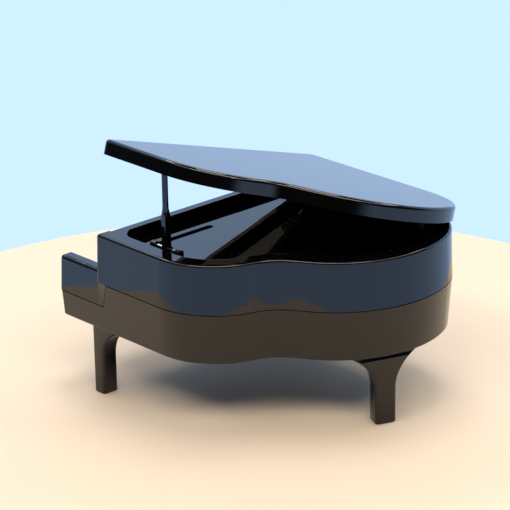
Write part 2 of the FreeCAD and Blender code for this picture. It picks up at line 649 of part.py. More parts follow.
crown_low = axis_high + 3.65
cover = upright(0, 0, barrel_high, barrel_drum, crown_low - barrel_high)
cover = cover.fuse(upright(0, 0, crown_low, crown + 0.7, 1.0))
for i in range(int(size("crown_teeth"))):
    fin = block(crown - 0.6, crown + 0.6, -0.3, 0.3, axis_high + 2.6, crown_low + 0.2)
    fin.rotate(Vector(), Vector(0, 0, 1), (i + 0.5) * 360.0 / size("crown_teeth"))
    cover = cover.fuse(fin)
cover = cover.cut(upright(0, 0, barrel_high - 1, size("winding_radius") + run_gap, 6))
cover.translate(Vector(12, 2, 0))
solid_feature("barrel_cover", local(cover.removeSplitter()))

# mainspring: a flat coil from the arbor's hub out to the barrel's wall
turns, points_per_turn = 7, 24
inner_coil, outer_coil, strip_thick = 2.6, barrel_drum - 1.5, 0.25
steps = turns * points_per_turn


def coil_line(offset):
    """Points of the coil's line, moved outwards by offset."""
    points = []
    for i in range(steps + 1):
        angle = i * 2 * math.pi / points_per_turn
        radius = inner_coil + (outer_coil - inner_coil) * i / steps + offset
        points.append(Vector(radius * math.cos(angle), radius * math.sin(angle), barrel_low + 1.4))
    return points


coil, back = coil_line(0), coil_line(strip_thick)
strip_high = barrel_high - barrel_low - 2.2
strip = Part.Face(Part.makePolygon(coil + back[::-1] + coil[:1])).extrude(Vector(0, 0, strip_high))
strip.translate(Vector(12, 2, 0))
solid_feature("mainspring", local(strip))

winding = size("winding_radius")
stub = size("floor_thick") + 6.0
shaft = upright(0, 0, -stub, winding, crown_low + 1.6 + stub)
shaft = shaft.fuse(upright(0, 0, barrel_low + 1.0, 2.3, barrel_high - barrel_low - 1.2))
shaft.translate(Vector(12, 2, 0))
solid_feature("winding_arbor", local(shaft))

# governor wheel: small pinion on the drum wheel, larger wheel on the fan's pinion
train = Part.makeCylinder(arbor, 23.2)
small = toothed(size("pinion_teeth"), 0.95, 1.9, 0.35, 1.0, phase=drum_mesh + 180 + half_tooth)
small.translate(Vector(0, 0, 2.0))
large = toothed(24, 4.2, 5.1, 0.4, 1.0, phase=fan_mesh)
large.translate(Vector(0, 0, 3.5))
solid_feature("governor_wheel", on_x_axis(train.fuse(small).fuse(large), -24.6, gov_y, gov_z))

air = Part.makeCylinder(arbor * 0.8, 23.2)
tiny = toothed(size("pinion_teeth"), 0.95, 1.9, 0.35, 1.0, phase=fan_mesh + 180 + half_tooth)
tiny.translate(Vector(0, 0, 3.5))
air = air.fuse(tiny)
air = air.fuse(block(-3.4, 3.4, -0.2, 0.2, 9.0, 17.0))
solid_feature("air_fan", on_x_axis(air, -24.6, fan_y, fan_z))

small_screws = [screw(move_x + x, move_y + y, size("case_base"), 3.6, 0.95, 1.9, 0.9) for x, y in move_screws]
solid_feature("movement_screws", Part.makeCompound(small_screws))

# winding key: a collar on the arbor's end with two rounded wings
key_low = size("case_base") - size("key_drop")
collar = upright(winding_x, winding_y, size("case_base") - 7.5, 2.7, 6.3)
collar = collar.cut(upright(winding_x, winding_y, size("case_base") - 6.0, winding, 6))
span = size("key_span") / 2
wing_radius, wing_half = 3.6, 0.8
wing_x = span - wing_radius
wings = [along_y(winding_x + side * wing_x, winding_y - wing_half, key_low + wing_radius + 0.3, wing_radius,
                 2 * wing_half) for side in (-1, 1)]
web = block(winding_x - wing_x, winding_x + wing_x, winding_y - wing_half, winding_y + wing_half,
            key_low + 1.6, key_low + 6.2)
key = collar.fuse(wings + [web])
solid_feature("winding_key", key.removeSplitter())

# ---------------------------------------------------------------- place, check and write

doc.recompute()
SKIP = {"upper_shell_moulding", "lid_moulding", "front_leg_blank", "tail_leg_blank"}
pieces = [o for o in doc.Objects if o.TypeId in ("PartDesign::Body", "Part::Feature") and o.Label not in SKIP
          and not o.getParentGeoFeatureGroup()]
for item in doc.Objects:
    if {"Invalid", "Error"} & set(item.State):
        raise RuntimeError(f"{item.Label} did not recompute: {item.State}")
for piece in pieces:
    if piece.Shape.isNull() or not piece.Shape.isValid():
        raise RuntimeError(f"{piece.Label} has no valid shape")

# the finished origin is on the ground under the middle of the whole piano, open lid included
whole = Part.makeCompound([piece.Shape for piece in pieces]).optimalBoundingBox(False)
shift = Vector(-whole.Center.x, -whole.Center.y, -whole.ZMin)
os.makedirs("parts", exist_ok=True)
for piece in pieces:
    piece.Placement = FreeCAD.Placement(shift, FreeCAD.Rotation()).multiply(piece.Placement)
    piece.Shape.exportStep(f"parts/{piece.Label}.step")
    print(f"{piece.Label:18s} solids {len(piece.Shape.Solids):3d}  volume {piece.Shape.Volume:9.1f} mm3")
print("size", [round(v, 2) for v in (whole.XLength, whole.YLength, whole.ZLength)], "shift", shift)
for name, point in (("lid hinge", hinge_point), ("prop pin", Vector(axis_x, row, prop_z)),
                    ("winding arbor", Vector(winding_x, winding_y, 0)),
                    ("tune cylinder", Vector(0, move_y - drum_y, base_level + axis_high)),
                    ("governor wheel", Vector(0, move_y - gov_y, base_level + gov_z)),
                    ("air fan", Vector(0, move_y - fan_y, base_level + fan_z)),
                    ("tail leg foot", Vector(tail_leg.x, tail_leg.y, 0)),
                    ("well low corner", Vector(-30, 8, well_floor)), ("rim", Vector(0, 0, rim_top))):
    place = point + shift
    print(f"{name}: {place.x:.3f} {place.y:.3f} {place.z:.3f}")
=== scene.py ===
# %% [markdown]
# # A miniature grand piano in gloss black plastic
# The piano is a small moulded box on three legs. Its lid stands open on a prop over a shallow tray, there is
# a keyboard at the front, and a wind-up musical movement is hidden inside. The imported model already holds
# every part at its real size, so the first step loads it and keeps a way to read each part's box.

# %% Load the imported piano
import json
import math

import bmesh
import bpy
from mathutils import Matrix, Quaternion, Vector


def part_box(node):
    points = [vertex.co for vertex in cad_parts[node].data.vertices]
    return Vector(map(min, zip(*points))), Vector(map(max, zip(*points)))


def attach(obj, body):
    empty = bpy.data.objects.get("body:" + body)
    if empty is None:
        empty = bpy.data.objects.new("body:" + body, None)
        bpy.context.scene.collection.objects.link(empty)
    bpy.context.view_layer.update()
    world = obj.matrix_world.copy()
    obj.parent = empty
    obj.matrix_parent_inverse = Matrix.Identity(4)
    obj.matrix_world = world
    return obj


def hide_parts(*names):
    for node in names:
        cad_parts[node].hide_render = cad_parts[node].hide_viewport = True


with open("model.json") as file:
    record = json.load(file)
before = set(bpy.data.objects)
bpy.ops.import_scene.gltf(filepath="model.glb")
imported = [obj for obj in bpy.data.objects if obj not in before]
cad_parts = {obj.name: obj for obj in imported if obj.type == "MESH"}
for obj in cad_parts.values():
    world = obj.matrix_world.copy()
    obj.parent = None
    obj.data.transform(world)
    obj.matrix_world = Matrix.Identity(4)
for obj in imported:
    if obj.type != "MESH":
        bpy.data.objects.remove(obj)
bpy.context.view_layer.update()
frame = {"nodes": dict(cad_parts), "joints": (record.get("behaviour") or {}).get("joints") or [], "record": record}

nodes = frame["nodes"]
joints = {joint["name"]: joint for joint in frame["joints"]}
mounts = {mount["name"]: Vector(mount["pos_m"]) for mount in frame["record"]["mounts"]}
MM = 0.001

# %% [markdown]
# A camera is easiest to aim as a point to look at, a distance and two angles. The view is from the treble
# side and a little behind the keys, from above the rim. A long lens keeps the upright lines upright, as it
# does in a product picture. The small roll is the tilt of a hand-held camera.

# %% Aim the camera
aim = Vector((3.7, -4.0, 42.6)) * MM
view_distance = 0.738
view_azimuth = math.radians(137.28)
view_height = math.radians(20.9)
view_roll = math.radians(-0.93)
towards_camera = Vector((math.sin(view_azimuth) * math.cos(view_height),
                         -math.cos(view_azimuth) * math.cos(view_height),
                         math.sin(view_height)))
camera = bpy.data.objects.new("camera", bpy.data.cameras.new("camera"))
bpy.context.scene.collection.objects.link(camera)
camera.data.lens = 169.81
camera.data.sensor_width = 36
camera.location = aim + towards_camera * view_distance
camera.rotation_mode = "QUATERNION"
camera.rotation_quaternion = (-towards_camera).to_track_quat("-Z", "Y") @ Quaternion((0, 0, 1), view_roll)
bpy.context.scene.camera = camera
print("camera at", [round(value, 3) for value in camera.location])

# %% [markdown]
# Gloss black plastic has hardly any colour of its own: what we see on it is the room. So the room matters
# more than the lamps. Here it is a pale blue backdrop that fills nearly everything below eye level and rises
# behind the piano, with a dim room on the camera's side. The dim part is what makes rounded edges
# show as a thin bright line between two black ones: the line itself is a warm ring of light that runs all
# the way round, about halfway up. One world shader can hold all of this.

# %% Paint the room into the world
backdrop_blue = (0.64, 0.89, 1.30, 1.0)
dim_room = (0.018, 0.020, 0.022, 1.0)
ring_light = (5.6, 5.1, 4.5, 1.0)
world = bpy.data.worlds.new("studio")
bpy.context.scene.world = world
world.use_nodes = True
room = world.node_tree
behind = Vector((-towards_camera.x, -towards_camera.y, 0)).normalized()
floor_fade = (-5, 1)
backdrop_top_fade = (42, 58)
backdrop_side_fade = (-0.45, -0.05)
ring_foot_fade = (42, 45)
ring_head_fade = (50, 53)


def room_step(value, low, high):
    """1 while the value is under low, falling smoothly to 0 at high."""
    step = room.nodes.new("ShaderNodeMapRange")
    step.interpolation_type = "SMOOTHSTEP"
    step.inputs["From Min"].default_value = low
    step.inputs["From Max"].default_value = high
    step.inputs["To Min"].default_value = 1
    step.inputs["To Max"].default_value = 0
    room.links.new(value, step.inputs["Value"])
    return step.outputs["Result"]


def height_step(low, high):
    """1 below one angle over the horizon in degrees, falling smoothly to 0 at another."""
    return room_step(split.outputs["Z"], math.sin(math.radians(low)), math.sin(math.radians(high)))


def room_math(operation, first, second):
    """Arithmetic on two parts of the room."""
    node = room.nodes.new("ShaderNodeMath")
    node.operation = operation
    room.links.new(first, node.inputs[0])
    room.links.new(second, node.inputs[1])
    return node.outputs["Value"]


direction = room.nodes.new("ShaderNodeTexCoord").outputs["Generated"]
split = room.nodes.new("ShaderNodeSeparateXYZ")
room.links.new(direction, split.inputs["Vector"])
forward = room.nodes.new("ShaderNodeVectorMath")
forward.operation = "DOT_PRODUCT"
forward.inputs[1].default_value = -behind
room.links.new(direction, forward.inputs[0])
below_eye_level = height_step(*floor_fade)
under_the_top = height_step(*backdrop_top_fade)
far_half = room_step(forward.outputs["Value"], *backdrop_side_fade)
backdrop = room_math("MAXIMUM", below_eye_level, room_math("MULTIPLY", under_the_top, far_half))
paint = room.nodes.new("ShaderNodeMix")
paint.data_type = "RGBA"
paint.inputs[6].default_value = dim_room
paint.inputs[7].default_value = backdrop_blue
room.links.new(backdrop, paint.inputs["Factor"])
under_ring_head = height_step(*ring_head_fade)
under_ring_foot = height_step(*ring_foot_fade)
ring = room_math("SUBTRACT", under_ring_head, under_ring_foot)
glow = room.nodes.new("ShaderNodeMix")
glow.data_type = "RGBA"
glow.inputs[7].default_value = ring_light
room.links.new(ring, glow.inputs["Factor"])
room.links.new(paint.outputs[2], glow.inputs[6])
room.links.new(glow.outputs[2], room.nodes["Background"].inputs["Color"])
print("world painted with a backdrop behind", [round(value, 2) for value in behind])

# %% [markdown]
# The piano stands on a round of matt cream card. It is small on purpose: the sloping lower shell mirrors
# the card in front of it, while the upper shell looks past the card's edge and mirrors the blue.
# That is why the two halves of one black box seem to have different colours.

# %% Lay the card
card_radius = 0.150
card_thick = 1.0 * MM
card_mesh = bmesh.new()
bmesh.ops.create_cone(card_mesh, cap_ends=True, segments=128, radius1=card_radius, radius2=card_radius,
                      depth=card_thick)
bmesh.ops.translate(card_mesh, verts=card_mesh.verts, vec=(aim.x, aim.y, -card_thick / 2))
card_data = bpy.data.meshes.new("card")
card_mesh.to_mesh(card_data)
card_mesh.free()
card = bpy.data.objects.new("card", card_data)
bpy.context.scene.collection.objects.link(card)
print("card of", round(2 * card_radius / MM), "mm laid")

# %% [markdown]
# Two soft lamps are enough. The ring of light in the world already draws the lines along the edges. The main
# lamp is a long softbox high on the camera's side, and it brightens the lines on the edges that face it. The
# other is a smaller panel of the same power, nearly overhead, so that the shadow gathers under the case.

# %% Hang two soft lamps
def soft_lamp(name, azimuth, height, distance, width, depth, watts, colour):
    """A rectangular area lamp that faces the piano from an azimuth and a height in degrees."""
    lamp = bpy.data.lights.new(name, "AREA")
    lamp.shape = "RECTANGLE"
    lamp.size = width
    lamp.size_y = depth
    lamp.energy = watts
    lamp.color = colour
    holder = bpy.data.objects.new(name, lamp)
    bpy.context.scene.collection.objects.link(holder)
    angle, rise = math.radians(azimuth), math.radians(height)
    away = Vector((math.sin(angle) * math.cos(rise), -math.cos(angle) * math.cos(rise), math.sin(rise)))
    holder.location = aim + away * distance
    holder.rotation_euler = (-away).to_track_quat("-Z", "Y").to_euler()
    return holder


soft_lamp("main_softbox", azimuth=132, height=58, distance=0.85, width=0.95, depth=0.26, watts=3.5,
          colour=(1.0, 0.93, 0.84))
soft_lamp("overhead_panel", azimuth=300, height=80, distance=0.9, width=0.35, depth=0.30, watts=3.5,
          colour=(1.0, 0.98, 0.95))
print("lamps hung")

# %% [markdown]
# Every finish below is a small network of nodes. A few helpers keep them readable: one starts a material,
# one adds a noise pattern in real metres, one turns a pattern into a range of numbers, and one into bumps.
# The patterns use object coordinates, so they stay on a part when it moves.

# %% Helpers for node finishes
def start_finish(name, metallic=0.0, ior=1.5):
    """A material with its principled shader; sizes in its patterns are in metres."""
    material = bpy.data.materials.new(name)
    material.use_nodes = True
    shader = material.node_tree.nodes["Principled BSDF"]
    shader.inputs["Metallic"].default_value = metallic
    shader.inputs["IOR"].default_value = ior
    return material, material.node_tree, shader


def surface_place(tree, stretch=(1, 1, 1)):
    """Object coordinates, squeezed along an axis when a pattern has a grain."""
    place = tree.nodes.new("ShaderNodeTexCoord")
    mapping = tree.nodes.new("ShaderNodeMapping")
    mapping.inputs["Scale"].default_value = stretch
    tree.links.new(place.outputs["Object"], mapping.inputs["Vector"])
    return mapping.outputs["Vector"]


def noise(tree, feature_mm, detail=4, stretch=(1, 1, 1)):
    """Noise whose blotches are about feature_mm across."""
    pattern = tree.nodes.new("ShaderNodeTexNoise")
    pattern.inputs["Scale"].default_value = 1 / (feature_mm * MM)
    pattern.inputs["Detail"].default_value = detail
    tree.links.new(surface_place(tree, stretch), pattern.inputs["Vector"])
    return pattern.outputs["Fac"]


def spread(tree, value, low, high, to_low, to_high):
    """Stretch the part of a pattern between low and high on to another range."""
    step = tree.nodes.new("ShaderNodeMapRange")
    for name, number in (("From Min", low), ("From Max", high), ("To Min", to_low), ("To Max", to_high)):
        step.inputs[name].default_value = number
    tree.links.new(value, step.inputs["Value"])
    return step.outputs["Result"]


def combine(tree, operation, first, second):
    """Arithmetic on two patterns."""
    node = tree.nodes.new("ShaderNodeMath")
    node.operation = operation
    tree.links.new(first, node.inputs[0])
    tree.links.new(second, node.inputs[1])
    return node.outputs["Value"]


def blend_colours(tree, value, dark, light):
    """A colour between dark and light, chosen by a pattern."""
    ramp = tree.nodes.new("ShaderNodeValToRGB")
    ramp.color_ramp.elements[0].color = (*dark, 1)
    ramp.color_ramp.elements[1].color = (*light, 1)
    tree.links.new(value, ramp.inputs["Fac"])
    return ramp.outputs["Color"]


def emboss(tree, shader, height, depth_mm):
    """Raise a pattern by up to depth_mm in the shading."""
    bump = tree.nodes.new("ShaderNodeBump")
    bump.inputs["Distance"].default_value = depth_mm * MM
    tree.links.new(height, bump.inputs["Height"])
    tree.links.new(bump.outputs["Normal"], shader.inputs["Normal"])


def worn_edges(tree, width_mm):
    """0 on flat faces, rising to 1 on edges: the rounded normal of an edge differs from the real one."""
    rounded = tree.nodes.new("ShaderNodeBevel")
    rounded.samples = 4
    rounded.inputs["Radius"].default_value = width_mm * MM
    real = tree.nodes.new("ShaderNodeNewGeometry")
    agree = tree.nodes.new("ShaderNodeVectorMath")
    agree.operation = "DOT_PRODUCT"
    tree.links.new(rounded.outputs["Normal"], agree.inputs[0])
    tree.links.new(real.outputs["Normal"], agree.inputs[1])
    return spread(tree, agree.outputs["Value"], 0.995, 0.90, 0, 1)


def dust(tree, spacing_mm, speck_mm, share):
    """1 on a few tiny specks: a share of the cells of a Voronoi pattern holds one each."""
    cells = tree.nodes.new("ShaderNodeTexVoronoi")
    cells.inputs["Scale"].default_value = 1 / (spacing_mm * MM)
    tree.links.new(surface_place(tree), cells.inputs["Vector"])
    near = spread(tree, cells.outputs["Distance"], speck_mm / spacing_mm, speck_mm / spacing_mm * 0.6, 0, 1)
    chosen = spread(tree, cells.outputs["Color"], 1 - share, 1 - share + 0.02, 0, 1)
    return combine(tree, "MULTIPLY", near, chosen)


print("finish helpers ready")

# %% [markdown]
# ## Gloss black plastic
# The case, lid, prop and legs are polished ABS. A mirror-smooth black would look like glass, so the finish
# has what handling leaves: faint smears that dull the gloss a little, hairline scratches along the length,
# rubbed edges, a few dust specks, and the very slight wave of a moulded wall. The base colour itself
# stays almost black, because the shine does all the work.

# %% Make the gloss black
def gloss_black(name, sheen_low, sheen_high, wave_mm):
    material, tree, shader = start_finish(name)
    smears = noise(tree, 14, 3)
    scratches = noise(tree, 0.35, 2, (1, 0.03, 1))
    edges = worn_edges(tree, 0.2)
    specks = dust(tree, 3.2, 0.05, 0.25)
    gloss = combine(tree, "ADD", spread(tree, smears, 0.40, 0.75, sheen_low, sheen_high),
                    spread(tree, scratches, 0.66, 0.80, 0, 0.05))
    gloss = combine(tree, "ADD", gloss, spread(tree, edges, 0, 1, 0, 0.05))
    gloss = combine(tree, "ADD", gloss, spread(tree, specks, 0, 1, 0, 0.5))
    tree.links.new(gloss, shader.inputs["Roughness"])
    shade = combine(tree, "MAXIMUM", spread(tree, smears, 0.3, 0.8, 0, 0.003),
                    spread(tree, specks, 0, 1, 0, 0.5))
    shade = combine(tree, "MAXIMUM", shade, spread(tree, edges, 0, 1, 0, 0.006))
    tree.links.new(blend_colours(tree, shade, (0.0012, 0.0012, 0.0014), (0.55, 0.54, 0.52)),
                   shader.inputs["Base Color"])
    emboss(tree, shader, noise(tree, 17, 1), wave_mm)
    return material


case_black = gloss_black("case_black", 0.015, 0.06, 0.045)
print("made", case_black.name)

# %% [markdown]
# ## The other finishes
# The white keys are a softer ivory plastic that lets a little light in, so they get some subsurface light.
# The sharps are black with a satin top. Inside and underneath there are metals: brushed steel with a grain
# along its length, brass with a touch of tarnish, cast zinc with a sandy skin, and milky nylon for the
# gears. Metals differ mostly in colour and roughness, so one function makes all three.

# %% Make the key plastics, the metals and the nylon
def soft_plastic(name, dark, light, rough_low, rough_high, glow):
    material, tree, shader = start_finish(name, ior=1.49)
    blotches = noise(tree, 6, 5)
    grain = noise(tree, 0.18, 2)
    edges = worn_edges(tree, 0.12)
    tree.links.new(blend_colours(tree, blotches, dark, light), shader.inputs["Base Color"])
    rough = combine(tree, "ADD", spread(tree, blotches, 0.3, 0.7, rough_low, rough_high),
                    spread(tree, edges, 0, 1, 0, -0.06))
    tree.links.new(rough, shader.inputs["Roughness"])
    shader.inputs["Subsurface Weight"].default_value = glow
    shader.inputs["Subsurface Scale"].default_value = 0.4 * MM
    emboss(tree, shader, grain, 0.004)
    return material


def metal(name, dark, light, rough_low, rough_high, grain_stretch, grain_mm, depth_mm):
    material, tree, shader = start_finish(name, metallic=1.0)
    stains = noise(tree, 4, 5)
    grain = noise(tree, grain_mm, 3, grain_stretch)
    edges = worn_edges(tree, 0.1)
    tree.links.new(blend_colours(tree, combine(tree, "MAXIMUM", stains, edges), dark, light),
                   shader.inputs["Base Color"])
    rough = combine(tree, "ADD", spread(tree, grain, 0.3, 0.7, rough_low, rough_high),
                    spread(tree, stains, 0.45, 0.8, 0, 0.08))
    tree.links.new(rough, shader.inputs["Roughness"])
    emboss(tree, shader, grain, depth_mm)
    return material


finishes = {
    "black_plastic": case_black,
    "white_plastic": soft_plastic("ivory_keys", (0.70, 0.67, 0.58), (0.82, 0.80, 0.73), 0.16, 0.30, 0.12),
    "sharps_plastic": soft_plastic("satin_sharps", (0.006, 0.006, 0.007), (0.014, 0.014, 0.015),
                                   0.16, 0.32, 0.0),
    "steel": metal("brushed_steel", (0.42, 0.42, 0.44), (0.68, 0.68, 0.69), 0.16, 0.34,
                   (1, 0.05, 1), 0.15, 0.004),
    "zinc": metal("cast_zinc", (0.34, 0.34, 0.36), (0.55, 0.56, 0.58), 0.38, 0.55, (1, 1, 1), 0.4, 0.02),
    "brass": metal("warm_brass", (0.52, 0.33, 0.11), (0.83, 0.61, 0.27), 0.14, 0.30, (0.2, 1, 1), 0.2, 0.003),
    "nylon": soft_plastic("milky_nylon", (0.68, 0.65, 0.55), (0.82, 0.80, 0.72), 0.30, 0.45, 0.25),
}
card_finish, card_tree, card_shader = start_finish("cream_card")
card_shader.inputs["Specular IOR Level"].default_value = 0.2
card_tree.links.new(blend_colours(card_tree, noise(card_tree, 30, 2), (0.74, 0.61, 0.47), (0.76, 0.63, 0.49)),
                    card_shader.inputs["Base Color"])
card_shader.inputs["Roughness"].default_value = 0.7
emboss(card_tree, card_shader, noise(card_tree, 0.5, 3), 0.01)
card.data.materials.append(card_finish)
print("made", len(finishes), "finishes and the card's")

# %% [markdown]
# The record says which finish each part has. The shells, the lid, the hinge and everything in the movement
# already have their true shape, so they keep their meshes and only get the new finish.

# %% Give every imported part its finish
for subpart in frame["record"]["subparts"]:
    part = nodes[subpart["node"]]
    part.data.materials.clear()
    part.data.materials.append(finishes[subpart["material_slot"]])

# %% [markdown]
# ## Building new pieces
# The legs, prop, keys and winding key are small mouldings and castings whose edges are all rounded, so they
# are built again as detailed meshes. Most of them are lofts: a stack of outlines with the same number of
# points, joined by faces. One helper turns such a stack into a closed mesh, another makes it a finished piece on
# its body.

# %% Helpers for new pieces
def loft(piece_mesh, outlines):
    """Join closed outlines, bottom to top, with faces, and close both ends."""
    rows = [[piece_mesh.verts.new(point) for point in outline] for outline in outlines]
    count = len(rows[0])
    for low, high in zip(rows, rows[1:]):
        for i in range(count):
            j = (i + 1) % count
            piece_mesh.faces.new((low[i], low[j], high[j], high[i]))
    piece_mesh.faces.new(rows[0][::-1])
    piece_mesh.faces.new(rows[-1])


def rounded_rectangle(x_low, x_high, y_low, y_high, radius, steps=6):
    """Corner points of a rectangle with round corners, anticlockwise."""
    points = []
    for x, y, start in ((x_high, y_low, -90), (x_high, y_high, 0), (x_low, y_high, 90), (x_low, y_low, 180)):
        centre_x = x - radius if x == x_high else x + radius
        centre_y = y - radius if y == y_high else y + radius
        for step in range(steps + 1):
            angle = math.radians(start + 90 * step / steps)
            points.append((centre_x + radius * math.cos(angle), centre_y + radius * math.sin(angle)))
    return points


def new_piece(name, piece_mesh, slot, body, replaced, crease=35):
    """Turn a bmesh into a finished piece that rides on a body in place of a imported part."""
    bmesh.ops.recalc_face_normals(piece_mesh, faces=piece_mesh.faces)
    data = bpy.data.meshes.new(name)
    piece_mesh.to_mesh(data)
    piece_mesh.free()
    data.shade_smooth()
    data.set_sharp_from_angle(angle=math.radians(crease))
    piece = bpy.data.objects.new(name, data)
    bpy.context.scene.collection.objects.link(piece)
    data.materials.append(finishes[slot])
    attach(piece, body)
    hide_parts(replaced)
    print("made", name, "with", len(data.polygons), "faces")
    return piece


# %% [markdown]
# ## The legs
# Each leg is an upright bar with soft corners that opens out in a curve under the case: the two front legs
# on one side only, the tail leg on both. The curve is part of a circle that leaves the bar without a
# kink, so the width at each height comes from a formula. The tail leg also follows the round tail: its
# outline is wrapped about the middle of that arc. The top runs into the case's rounded edge. The tail leg
# also stands proud by a hair, to close a dark line above its face, but the line still shows.

# %% Shape the legs
case_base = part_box("lower_shell")[0].z
leg_corner = 1.0 * MM
foot_edge = 0.45 * MM
leg_sink = 1.0 * MM
leg_rows = 26


def flare(height, reach, drop):
    """How far the curve has opened at this height above the ground."""
    above = min(max(height - (case_base - drop), 0), drop)
    radius = (reach ** 2 + drop ** 2) / (2 * reach)
    return radius - math.sqrt(radius ** 2 - above ** 2)


def leg_outlines(along_low, along_high, across_low, across_high, reach_low, reach_high, drop):
    """The leg's outline at each height, as (along, across, height)."""
    heights = []
    for step in range(5):
        angle = math.radians(90 * step / 4)
        heights.append((foot_edge * (1 - math.cos(angle)), foot_edge * (1 - math.sin(angle))))
    bar_top = case_base - drop
    heights += [(foot_edge + (bar_top - foot_edge) * (step + 1) / 4, 0) for step in range(4)]
    heights += [(bar_top + (drop + leg_sink) * (step + 1) / leg_rows, 0) for step in range(leg_rows)]
    outlines = []
    for height, inset in heights:
        low = along_low + inset - (flare(height, reach_low, drop) if reach_low else 0)
        high = along_high - inset + (flare(height, reach_high, drop) if reach_high else 0)
        outline = rounded_rectangle(low, high, across_low + inset, across_high - inset, leg_corner)
        outlines.append([(along, across, height) for along, across in outline])
    return outlines


front_drop, front_reach = 9.5 * MM, 6.0 * MM
for side in ("treble", "bass"):
    low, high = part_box(f"leg_front_{side}")
    leg_mesh = bmesh.new()
    stack = leg_outlines(low.y, high.y - front_reach, low.x, high.x, 0, front_reach, front_drop)
    loft(leg_mesh, [[(across, along, height) for along, across, height in outline] for outline in stack])
    new_piece(f"front_leg_{side}", leg_mesh, "black_plastic", "case", f"leg_front_{side}")

# %% [markdown]
# The tail leg's outline is drawn flat, as length along the arc and distance from it, and then wrapped.

# %% Wrap the tail leg round the tail
tail_drop, tail_reach = 10.8 * MM, 6.8 * MM
tail_half = 3.2 * MM
tail_depth_half = 2.85 * MM
tail_proud = 0.12 * MM
tail_radius = 32.1 * MM
tail_way = math.radians(70.5)
tail_centre = mounts["foot_tail"] - Vector((math.cos(tail_way), math.sin(tail_way), 0)) * tail_radius


def wrap(along, across, height):
    """A point at a length along the arc, a distance outside it and a height."""
    turn = tail_way + along / tail_radius
    radius = tail_radius + across
    return (tail_centre.x + radius * math.cos(turn), tail_centre.y + radius * math.sin(turn), height)


tail_mesh = bmesh.new()
stack = leg_outlines(-tail_half, tail_half, -tail_depth_half, tail_depth_half + tail_proud,
                     tail_reach, tail_reach, tail_drop)
loft(tail_mesh, [[wrap(*point) for point in outline] for outline in stack])
new_piece("tail_leg", tail_mesh, "black_plastic", "case", "leg_tail")

# %% [markdown]
# ## The prop
# The prop is a square bar at its foot and a round rod above. Where a cone cuts a square bar, each flat side
# ends in an arch, and that small facet is the detail that makes the prop look turned. A loft can
# do it with one rule: at every angle the outline is the nearer of the square and the cone. The foot ends
# in a round eye about its pin, so that the prop can fold down into the tray.

# %% Shape the prop
pin = Vector(joints["prop_fold"]["pos_m"])
prop_centre = Vector((pin.x + 0.95 * MM, pin.y, pin.z))
bar_half_x, bar_half_y = 1.15 * MM, 1.05 * MM
rod_radius = 0.93 * MM
cone_low, cone_high, prop_tip = 10.3 * MM, 14.6 * MM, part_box("prop_stick")[1].z - pin.z
cone_radius = 1.62 * MM
tip_round = 0.4 * MM


def cone_reach(height):
    """Radius that the cone and the rod above it allow at a height over the pin."""
    share = min(max((height - cone_low) / (cone_high - cone_low), 0), 1)
    ease = (1 - share) ** 2
    radius = rod_radius + (cone_radius - rod_radius) * ease
    left = prop_tip - height
    if left < tip_round:
        radius -= tip_round - math.sqrt(max(tip_round ** 2 - (tip_round - left) ** 2, 0))
    return radius


def prop_outline(height, points=64, corner_power=10):
    """The nearer of a square with soft corners and the cone, all the way round."""
    outline = []
    limit = cone_reach(height)
    for i in range(points):
        angle = 2 * math.pi * (i + 0.5) / points
        across = (abs(math.cos(angle)) / bar_half_x) ** corner_power
        along = (abs(math.sin(angle)) / bar_half_y) ** corner_power
        reach = min((across + along) ** (-1 / corner_power), limit)
        outline.append((prop_centre.x + reach * math.cos(angle), prop_centre.y + reach * math.sin(angle),
                        prop_centre.z + height))
    return outline


def turned(piece_mesh, centre, axis, profile, points=48):
    """A solid turned about an axis; the profile is a list of (distance along the axis, radius)."""
    side = axis.orthogonal().normalized()
    other = axis.cross(side)
    outlines = []
    for along, radius in profile:
        outlines.append([centre + axis * along + (side * math.cos(turn) + other * math.sin(turn)) * radius
                         for turn in (2 * math.pi * i / points for i in range(points))])
    loft(piece_mesh, outlines)


prop_heights = [0, 4 * MM, 8 * MM]
prop_heights += [cone_low + (cone_high - cone_low) * step / 24 for step in range(25)]
prop_heights += [prop_tip - tip_round * (1 - math.sin(math.radians(15 * step))) for step in range(6)]
prop_mesh = bmesh.new()
loft(prop_mesh, [prop_outline(height) for height in prop_heights])
eye_edge = 0.2 * MM
eye_radius = 1.05 * MM
turned(prop_mesh, pin, Vector((0, 1, 0)),
       [(-bar_half_y, eye_radius - eye_edge), (-bar_half_y + eye_edge, eye_radius),
        (bar_half_y - eye_edge, eye_radius), (bar_half_y, eye_radius - eye_edge)])
new_piece("lid_prop", prop_mesh, "black_plastic", "prop", "prop_stick", crease=28)

# %% [markdown]
# ## The keyboard
# The white keys are one moulding: a slab with twenty-two key tops that overhang it by a hair. Each key is
# a block whose edges are bevelled, made by a loop. The sharps taper towards their top and slope at the
# front, so that a finger slides up them, and they stand in the usual groups of two and three.

# %% Make the keys
key_low, key_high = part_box("white_keys")
key_count = 22
key_pitch = (key_high.x - key_low.x) / key_count
key_gap = 0.3 * MM
key_edge = 0.28 * MM


def soft_block(piece_mesh, low, high, edge, taper=0.0, front_slope=0.0):
    """A block with rounded edges; taper narrows its top, front_slope pushes its top front edge back."""
    corners = []
    for z, pull, slope in ((low[2], 0, 0), (high[2], taper, front_slope)):
        corners.append([(low[0] + pull, low[1] + slope, z), (high[0] - pull, low[1] + slope, z),
                        (high[0] - pull, high[1], z), (low[0] + pull, high[1], z)])
    before = set(piece_mesh.edges)
    loft(piece_mesh, corners)
    fresh = [one for one in piece_mesh.edges if one not in before]
    bmesh.ops.bevel(piece_mesh, geom=fresh, offset=edge, segments=3, profile=0.5, affect="EDGES",
                    clamp_overlap=True)


